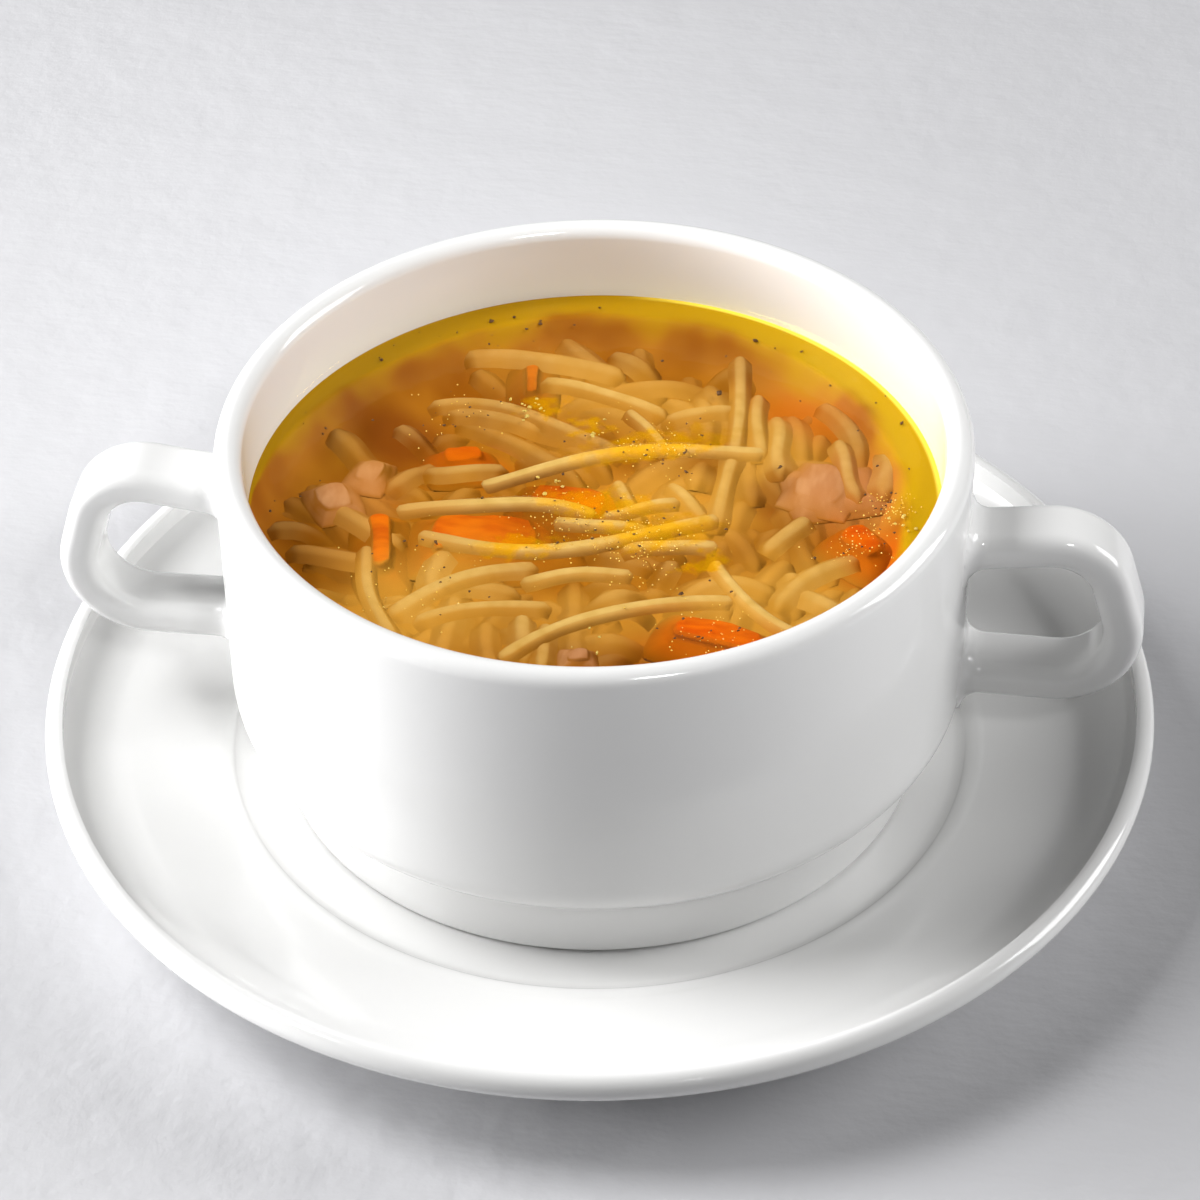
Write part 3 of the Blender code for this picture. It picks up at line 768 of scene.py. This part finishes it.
def strand_points(route, heights):
    """The noodle's spine with an extra step at each end, short when it shows, long and steep when deep."""
    points = [Vector((x, y, z)) for (x, y), z in zip(route, heights)]
    tips = []
    for end, before in ((points[0], points[1]), (points[-1], points[-2])):
        deep = buried(end)
        onward = (end - before).normalized() * (0.22 + 0.8 * deep) * MM
        tips.append(end + onward - Vector((0, 0, 0.9 * deep * MM)))
    return [tips[0]] + points + [tips[1]]


def fat_band(x, y):
    """Width of the fat along the wall: full at the back, none in front."""
    return FAT_BAND * min(1.0, max(0.0, y / SOUP_RADIUS + 8 * x + 0.6))


def inside_soup(route, margin):
    """Whether a noodle keeps clear of the wall, and of most of the fat along it."""
    return all(p.length < SOUP_RADIUS - margin - fat_band(p.x, p.y) * 0.8 for p in route)


def make_noodles(mat, heap, garnish, rng):
    """All noodles as one mesh: those listed, then loose ones under them and the garnish."""
    verts, faces = [], []
    radius = NOODLE_WIDTH / 2
    for middle, heading, length, bend, depth in PLACED_NOODLES:
        segments = max(6, round(length / 1.1))
        route = strand_route(rng, Vector(middle) * MM, heading, length * MM, bend, segments)
        heights = lay_strand(heap, route, depth * MM, 0.5 * MM, radius)
        size = rng.uniform(0.86, 1.12)
        sweep_strand(verts, faces, strand_points(route, heights), NOODLE_WIDTH * size, NOODLE_THICKNESS)
    for piece in garnish:
        heap.block(piece)
    shares = np.array([share for _, _, share, _ in DRIFTS])
    laid = 0
    while laid < LOOSE_NOODLES:
        centre, spread, _, heading = DRIFTS[rng.choice(len(DRIFTS), p=shares / shares.sum())]
        middle = Vector((rng.normal(centre[0], spread * 0.45), rng.normal(centre[1], spread * 0.45))) * MM
        length = rng.uniform(14, 38) * MM
        segments = round(length / (1.3 * MM))
        route = strand_route(rng, middle, heading + rng.normal(0, 28), length, rng.normal(0, 38), segments)
        if not inside_soup(route, 2.6 * MM):
            continue
        heights = lay_strand(heap, route, rng.uniform(0.7, 3.2) * MM, rng.uniform(0, 2.0) * MM, radius)
        laid += 1
        if heights.max() < SOUP_Z - CORE_DEPTH - radius:
            continue
        size = rng.uniform(0.88, 1.08)
        points = strand_points(route, heights)
        sweep_strand(verts, faces, points, NOODLE_WIDTH * size, NOODLE_THICKNESS * size)
    noodles = mesh_object("noodle_strands", verts, faces, mat, 60)
    flip_if_inside_out(noodles)
    noodles.visible_shadow = False
    return part(noodles, "noodle", "noodles")


def chunk(name, middle, size, turn, tilt, roughness, roundness, mat, seed):
    """A hand-cut piece: a block with softened edges and an uneven surface, spreading towards its foot."""
    bm = bmesh.new()
    bmesh.ops.create_cube(bm, size=1.0)
    bmesh.ops.scale(bm, vec=size, verts=bm.verts)
    for vert in bm.verts:
        vert.co.x *= 1.0 - 0.10 * (vert.co.y > 0)
        vert.co.y *= 1.0 - 0.14 * (vert.co.x > 0)
    bmesh.ops.bevel(bm, geom=bm.edges[:], offset=0.2 * min(size), segments=3, profile=0.6, affect="EDGES")
    bmesh.ops.subdivide_edges(bm, edges=bm.edges[:], cuts=4, use_grid_fill=True)
    bmesh.ops.triangulate(bm, faces=[f for f in bm.faces if len(f.verts) > 4])
    for vert in bm.verts:
        unit = Vector((vert.co[k] * 2 / size[k] for k in range(3)))
        ball = unit.normalized()
        share = roundness * min(1.0, max(0.0, unit.z + 0.6))
        vert.co = Vector(((unit[k] + (ball[k] - unit[k]) * share) * size[k] / 2 for k in range(3)))
        low = max(0.0, size[2] * FLANK_TOP - vert.co.z)
        aside = Vector((unit.x, unit.y, 0))
        vert.co += aside / max(1.0, aside.length) * low * FLANK_SLOPE
    bm.normal_update()
    offset = Vector((seed * 13.7, seed * 5.1, 0))
    for vert in bm.verts:
        wobble = 1.6 * noise.noise(vert.co * 190 + offset) + 0.5 * noise.noise(vert.co * 600 + offset)
        vert.co += vert.normal * wobble * roughness * min(1.0, max(0.0, 0.3 + vert.co.z * 2 / size[2]))
    mesh = bpy.data.meshes.new(name)
    bm.to_mesh(mesh)
    bm.free()
    rotation = Euler((0, math.radians(tilt), math.radians(turn))).to_matrix().to_4x4()
    mesh.transform(Matrix.Translation(middle) @ rotation)
    mesh.materials.append(mat)
    mesh.shade_smooth()
    return link(bpy.data.objects.new(name, mesh))


def make_garnish(mats):
    """The pieces that stand for CAD nodes, and the sunken ones, joined by kind."""
    all_pieces = []
    for seed, (name, (size, turn, tilt)) in enumerate(GARNISH.items()):
        low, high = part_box(name)
        middle = (low + high) / 2
        kind = name.split("_")[0]
        middle.z = SOUP_Z - TOP_DEPTH[kind] - size[2] * MM / 2
        piece = chunk(name + "_piece", middle, [side * MM for side in size], turn, tilt, 0.4 * MM,
                      ROUNDNESS[kind], mats[kind], seed)
        piece.visible_shadow = False
        all_pieces.append(part(piece, kind, name))
    for kind in ("carrot", "chicken"):
        pieces = []
        for seed, (what, (x, y), size, turn, depth) in enumerate(SUNKEN, start=20):
            if what != kind:
                continue
            middle = Vector((x * MM, y * MM, SOUP_Z - depth * MM - size[2] * MM / 2))
            pieces.append(chunk(f"sunken_{kind}", middle, [side * MM for side in size], turn, 4, 0.5 * MM,
                                ROUNDNESS[kind], mats[kind], seed))
        sunken = join(pieces)
        sunken.visible_shadow = False
        all_pieces.append(part(sunken, kind))
    return all_pieces


def join(pieces):
    """One object from several meshes."""
    bm = bmesh.new()
    for piece in pieces:
        bm.from_mesh(piece.data)
    bm.to_mesh(pieces[0].data)
    bm.free()
    for piece in pieces[1:]:
        bpy.data.objects.remove(piece)
    pieces[0].data.shade_smooth()
    return pieces[0]


def scatter(rng, count, column, loose_edge):
    """Places on the soup: some gathered where FROTH says, the rest over the back and sides.

    column is the share to read in FROTH, and loose_edge the chance that one of the rest lies by the wall.
    """
    places = []
    shares = [row[column] for row in FROTH]
    while len(places) < count:
        pick = rng.random()
        if pick < sum(shares):
            row = FROTH[rng.choice(len(FROTH), p=np.array(shares) / sum(shares))]
            x, y = rng.normal(row[0], row[1] * 0.5) * MM
        else:
            a = rng.uniform(-0.35, math.pi + 0.35)
            inward = abs(rng.normal(0, 4.5)) if rng.random() < loose_edge else rng.uniform(2, 40)
            r = SOUP_RADIUS - (0.8 + inward) * MM
            x, y = r * math.cos(a), r * math.sin(a)
        if math.hypot(x, y) < SOUP_RADIUS - 0.7 * MM:
            places.append((x, y))
    return places


def pebbles(name, places, sizes, flat, rough, mat, heap, rng, lift, detail=1):
    """Many small lumps on the soup's skin as one mesh.

    sizes are the smallest and largest radius in millimetres, flat is height over width, rough is how uneven
    they are, and lift is how far their middles stand proud, as a share of the radius.
    """
    bm = bmesh.new()
    for x, y in places:
        size = rng.uniform(*sizes) * MM
        turn = Matrix.Rotation(rng.uniform(0, 2 * math.pi), 4, "Z")
        turn = turn @ Matrix.Rotation(rng.normal(0, 0.15), 4, "X")
        shape = Matrix.Diagonal((1.0, rng.uniform(1 - rough, 1.0), flat, 1.0))
        place = Matrix.Translation((x, y, SOUP_Z + heap.rise(x, y) + lift * size))
        made = bmesh.ops.create_icosphere(bm, subdivisions=detail, radius=size, matrix=place @ turn @ shape)
        if rough > 0.05:
            for vert in made["verts"]:
                vert.co += Vector(rng.normal(0, rough * size * 0.35, 3)) * Vector((1, 1, flat)).length / 2
    mesh = bpy.data.meshes.new(name)
    bm.to_mesh(mesh)
    bm.free()
    mesh.materials.append(mat)
    mesh.shade_smooth()
    return link(bpy.data.objects.new(name, mesh))


def make_fine_things(heap, rng):
    """Herb and pepper specks, tiny bubbles and crumbs of fat on the soup's skin."""
    herb = plain_material("dried_herb", colour(*HERB), 0.7)
    places = scatter(rng, SPECKS, SPECK_SHARE, 0.7)
    specks = pebbles("herb_specks", places, (0.10, 0.30), 0.35, 0.6, herb, heap, rng, 0.1)
    places = [(x * MM, y * MM) for x, y in PEPPER]
    flakes = pebbles("pepper", places, (0.3, 0.5), 0.4, 0.6, herb, heap, rng, 0.1)
    part(join([specks, flakes]), "broth")
    bubble = bubble_material()
    places = scatter(rng, BUBBLES, BUBBLE_SHARE, 0.5)
    part(pebbles("bubbles", places, (0.05, 0.13), 0.85, 0.0, bubble, heap, rng, 0.15, 2), "broth")
    places = []
    for (x, y), count in FAT_CRUMBS:
        places += [tuple(rng.normal((x, y), 1.3) * MM) for _ in range(count)]
    fat = plain_material("fat_crumb", colour(*FAT_CRUMB), 0.35)
    part(pebbles("fat_crumbs", places, (0.12, 0.36), 0.55, 0.5, fat, heap, rng, -0.1, 2), "broth")


def polar_grid(radii, steps, height):
    """Vertices and faces of a disc of rings, whose height is a function of x and y."""
    verts, faces = [(0.0, 0.0, height(0.0, 0.0))], []
    for radius in radii:
        for k in range(steps):
            a = 2 * math.pi * k / steps
            x, y = radius * math.cos(a), radius * math.sin(a)
            verts.append((x, y, height(x, y)))
    for k in range(steps):
        faces.append((0, 1 + k, 1 + (k + 1) % steps))
    for r in range(len(radii) - 1):
        bridge(faces, 1 + r * steps, 1 + (r + 1) * steps, steps)
    return verts, faces


def ring_radii(count):
    """Rings from the middle out to just inside the wall, closer together near it."""
    reach = SOUP_RADIUS + 0.3 * MM
    return [reach * (1 - (1 - (i + 1) / count) ** 1.6) for i in range(count)]


def make_broth(mat):
    """The cloudy body of the broth: uneven below the surface, closed down to the cup's floor."""
    def height(x, y):
        inward = max(0.0, SOUP_RADIUS - math.hypot(x, y) - fat_band(x, y))
        coarse = 1.0 * MM * noise.noise(Vector((x, y, 0)) * 110)
        fine = 0.5 * MM * noise.noise(Vector((x, y, 1)) * 260)
        depth = CORE_DEPTH * (1 - math.exp(-inward / (2.6 * MM))) + 0.25 * MM
        return SOUP_Z - depth + (coarse + fine) * min(1.0, inward / (4 * MM))
    steps = 120
    verts, faces = polar_grid(ring_radii(60), steps, height)
    low_wall = CUP_RADIUS - WALL - INNER_TAPER + 0.1 * MM
    corner = arc((low_wall - INNER_CORNER, INNER_FLOOR_Z + INNER_CORNER), (INNER_CORNER, INNER_CORNER),
                 0, -90, 8)
    for radius, z in corner:
        for k in range(steps):
            turn = 2 * math.pi * k / steps
            verts.append((radius * math.cos(turn), radius * math.sin(turn), CUP_FOOT + z))
        bridge(faces, len(verts) - 2 * steps, len(verts) - steps, steps)
    faces.append(tuple(range(len(verts) - steps, len(verts)))[::-1])
    broth = mesh_object("broth_body", verts, faces, mat)
    flip_if_inside_out(broth)
    return part(broth, "broth", "broth")


def make_surface(mat, heap):
    """The soup's wet skin: level, drawn up at the wall and over what breaks through."""
    def height(x, y):
        inward = max(0.0, SOUP_RADIUS - math.hypot(x, y))
        rise = MENISCUS * math.exp(-inward / (0.9 * MM))
        return SOUP_Z + rise + heap.rise(x, y) + 0.03 * MM * noise.noise(Vector((x, y, 0)) * 150)
    verts, faces = polar_grid(ring_radii(190), 360, height)
    surface = mesh_object("soup_surface", verts, faces, mat)
    surface.visible_shadow = False
    return part(surface, "broth")


# ---------------- stage
CAMERA_TURN = 8.5  # degrees the camera stands round from -Y towards +X
CAMERA_PITCH = 39.77  # degrees it looks down
CAMERA_ROLL = -1.27
CAMERA_BACK = 461.3 * MM
CAMERA_ASIDE = -1.35 * MM
CAMERA_UP = 408.6 * MM  # above the cup's foot
CAMERA_LENS = 126.4
CAMERA_SHIFT = (0.0104, 0.0012)
# Square lights a metre from the origin: name, degrees from +X, degrees above the table, size, watts
SOFTBOXES = (
    ("window", 180, 8, 0.45, 20.0), ("window_top", 182, 50, 0.45, 8.8), ("reflector", 14, 25, 0.5, 7.4),
)
SOUP_LIGHT_PLACE = (0.19, -0.37, 0.51)
SOUP_LIGHT_AIM = Vector((-4, 26, 56)) * MM
SOUP_LIGHT_POWER = 9.2
SOUP_LIGHT_SPREAD = 12.0  # degrees
WORLD_STRENGTH = 0.03


def make_stage():
    bpy.ops.mesh.primitive_plane_add(size=3.0, location=(0, 0, 0))
    floor = bpy.context.object
    floor.name = "floor"
    floor.data.materials.append(floor_material())


def make_camera():
    data = bpy.data.cameras.new("camera")
    data.lens = CAMERA_LENS
    data.sensor_width = 36.0
    data.shift_x, data.shift_y = CAMERA_SHIFT
    data.clip_start = 0.01
    camera = link(bpy.data.objects.new("camera", data))
    turn = Matrix.Rotation(math.radians(CAMERA_TURN), 4, "Z")
    place = Matrix.Translation((CAMERA_ASIDE, -CAMERA_BACK, CUP_FOOT + CAMERA_UP))
    tilt = Matrix.Rotation(math.radians(90 - CAMERA_PITCH), 4, "X")
    roll = Matrix.Rotation(math.radians(CAMERA_ROLL), 4, "Z")
    camera.matrix_world = turn @ place @ tilt @ roll
    bpy.context.scene.camera = camera


def softbox(name, turn, lift, size, power):
    """One square light, aimed at the cup, from a row of SOFTBOXES."""
    turn, lift = math.radians(turn), math.radians(lift)
    data = bpy.data.lights.new(name, "AREA")
    data.size = size
    data.energy = power
    light = link(bpy.data.objects.new(name, data))
    light.location = (math.cos(lift) * math.cos(turn), math.cos(lift) * math.sin(turn), math.sin(lift))
    aim_at(light, Vector((0, 0, 30 * MM)))


def aim_at(light, target):
    """Turns the light to face the target."""
    light.rotation_euler = (target - light.location).to_track_quat("-Z", "Y").to_euler()


def make_lights():
    for row in SOFTBOXES:
        softbox(*row)
    data = bpy.data.lights.new("soup_light", "SPOT")
    data.energy = SOUP_LIGHT_POWER
    data.spot_size = math.radians(SOUP_LIGHT_SPREAD)
    data.spot_blend = 0.35
    data.shadow_soft_size = 60 * MM
    spot = link(bpy.data.objects.new("soup_light", data))
    spot.location = SOUP_LIGHT_PLACE
    aim_at(spot, SOUP_LIGHT_AIM)
    world = bpy.data.worlds.new("studio")
    world.use_nodes = True
    background = world.node_tree.nodes["Background"]
    background.inputs["Color"].default_value = (1, 1, 1, 1)
    background.inputs["Strength"].default_value = WORLD_STRENGTH
    bpy.context.scene.world = world
    bpy.context.scene.view_settings.view_transform = "Standard"


# ---------------- build
make_camera()
make_stage()
make_lights()
make_porcelain(porcelain_material())
rng = np.random.default_rng(SEED)
heap = Heap()
carrot = fibrous_material("boiled_carrot", (0.35, 1.0, 1.0), 380.0, CARROT_DARK, CARROT_LIGHT,
                          700.0, 0.4, 0.2 * MM)
chicken = fibrous_material("boiled_chicken", (1.0, 0.3, 1.0), 420.0, CHICKEN_DARK, CHICKEN_LIGHT,
                           600.0, 0.5, 0.3 * MM)
garnish = make_garnish({"carrot": carrot, "chicken": chicken})
make_noodles(noodle_material(), heap, garnish, rng)
heap.soften()
make_broth(broth_material())
make_surface(surface_material(), heap)
make_fine_things(heap, rng)
